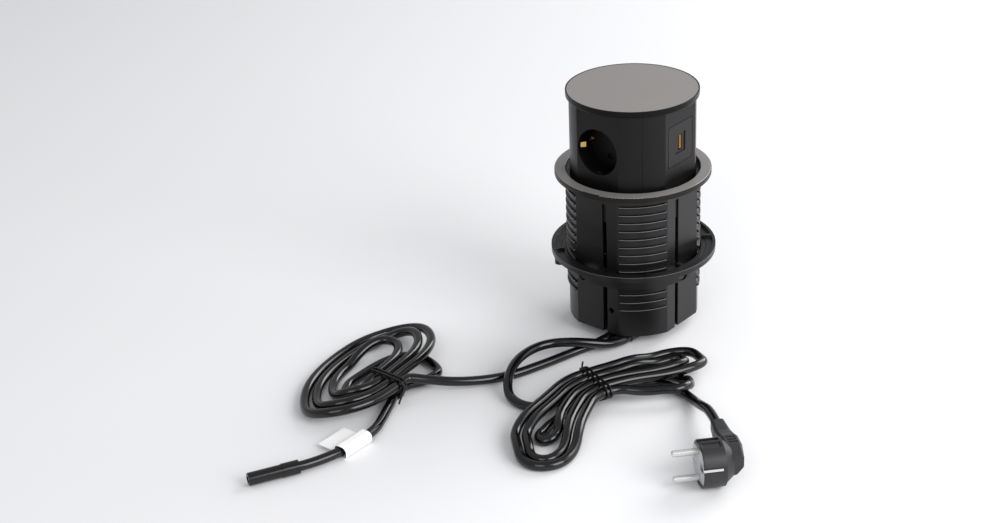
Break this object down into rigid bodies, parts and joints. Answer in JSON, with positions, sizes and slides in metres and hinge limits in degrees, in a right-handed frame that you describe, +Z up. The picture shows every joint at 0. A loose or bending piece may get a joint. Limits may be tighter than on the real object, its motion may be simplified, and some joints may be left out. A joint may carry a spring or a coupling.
{
  "type": "recessed pop-up socket tower",
  "caption": "Round head with earthed socket recesses and a charging port that rises from a threaded worktop sleeve with lock nut; tied mains lead with angled plug and a tied output lead.",
  "frame": {"origin": "on the floor, on the axis of the tower, under its base cover", "axes": "+Z up along the tower's axis; -Y out of the front socket, towards the leads"},
  "size_m": [0.3664, 0.4398, 0.204],
  "materials": {
    "sleeve_plastic": "semi-gloss black ABS",
    "head_plastic": "satin black",
    "shutter_plastic": "matt black",
    "inner_plastic": "matt grey thermoset",
    "trim_metal": "satin grey paint",
    "inlay_metal": "fine satin grey",
    "seal_rubber": "matt",
    "felt": "felt",
    "cord_pvc": "glossy black PVC",
    "tie_plastic": "black",
    "plug_pvc": "satin black PVC",
    "nickel": "bright nickel plate",
    "brass": "bright",
    "copper_wire": null,
    "steel": "zinc plated",
    "usb_panel": "fine matt dark grey",
    "usb_orange": "orange tongue",
    "board_green": "solder mask",
    "board_parts": "black",
    "tag_white": "white paper film"
  },
  "bodies": {
    "housing": {"outer_sleeve": "sleeve_plastic", "trim_ring": "trim_metal", "flange_seal": "seal_rubber", "base_cover": "sleeve_plastic", "housing_screws": "steel", "mains_gland": "cord_pvc", "output_gland": "cord_pvc", "cord_clamp": "sleeve_plastic", "inner_leads": "cord_pvc", "terminal_block": "inner_plastic", "slack_lead": "cord_pvc", "mains_lead_run": "cord_pvc", "mains_lead_hank": "cord_pvc", "mains_lead_tail": "cord_pvc", "plug_body": "plug_pvc", "plug_pins": "nickel", "plug_earth_strips": "nickel", "hank_tie": "tie_plastic", "output_lead_run": "cord_pvc", "output_lead_coil": "cord_pvc", "output_lead_tail": "cord_pvc", "output_coupling": "cord_pvc", "cord_tag": "tag_white", "coil_tie": "tie_plastic"},
    "head": {"lid_rim": "head_plastic", "lid_inlay": "inlay_metal", "head_shell_rear": "head_plastic", "head_shell_front": "head_plastic", "head_base_plate": "head_plastic", "guide_keys": "head_plastic", "friction_pads": "felt", "head_screws": "steel", "socket_cup_front": "head_plastic", "socket_cup_left": "head_plastic", "socket_cup_back": "head_plastic", "contact_block_front": "inner_plastic", "contact_block_left": "inner_plastic", "contact_block_back": "inner_plastic", "contact_tubes_front": "brass", "contact_tubes_left": "brass", "contact_tubes_back": "brass", "earth_clip_front": "brass", "earth_clip_left": "brass", "earth_clip_back": "brass", "socket_screws": "steel", "live_spider": "brass", "neutral_spider": "brass", "earth_spider": "brass", "riser_wires": "copper_wire", "usb_face_plate": "usb_panel", "usb_port_shell": "steel", "usb_tongue": "usb_orange", "usb_contacts": "brass", "usb_board": "board_green", "usb_board_parts": "board_parts"},
    "nut_carrier": {"nut_guide_ring": "sleeve_plastic"},
    "nut": {"lock_nut": "sleeve_plastic"},
    "shutter_rotor_front": {"shutter_front": "shutter_plastic"},
    "shutter_rotor_left": {"shutter_left": "shutter_plastic"},
    "shutter_rotor_back": {"shutter_back": "shutter_plastic"}
  },
  "joints": [
    {"name": "head_lift", "type": "slide", "parent": "housing", "child": "head", "axis": [0, 0, 1], "range_m": [-0.067, 0], "deforming": ["slack_lead"]},
    {"name": "nut_travel", "type": "slide", "parent": "housing", "child": "nut_carrier", "axis": [0, 0, 1], "range_m": [-0.0245, 0.052]},
    {"name": "nut_turn", "type": "hinge", "parent": "nut_carrier", "child": "nut", "pos_m": [0, 0, 0.0649], "axis": [0, 0, 1], "range_deg": [-1255, 2670]},
    {"name": "shutter_turn_front", "type": "hinge", "parent": "head", "child": "shutter_rotor_front", "pos_m": [0, -0.0259, 0.1646], "axis": [0, -1, 0], "range_deg": [0, 38], "stiffness_Nm_per_rad": 0.002},
    {"name": "shutter_turn_left", "type": "hinge", "parent": "head", "child": "shutter_rotor_left", "pos_m": [-0.0259, 0, 0.1646], "axis": [-1, 0, 0], "range_deg": [0, 38], "stiffness_Nm_per_rad": 0.002},
    {"name": "shutter_turn_back", "type": "hinge", "parent": "head", "child": "shutter_rotor_back", "pos_m": [0, 0.0259, 0.1646], "axis": [0, 1, 0], "range_deg": [0, 38], "stiffness_Nm_per_rad": 0.002}
  ],
  "couplings": [
    {"joint": "nut_travel", "follows": "nut_turn", "m_per_rad": 0.0011141}
  ]
}
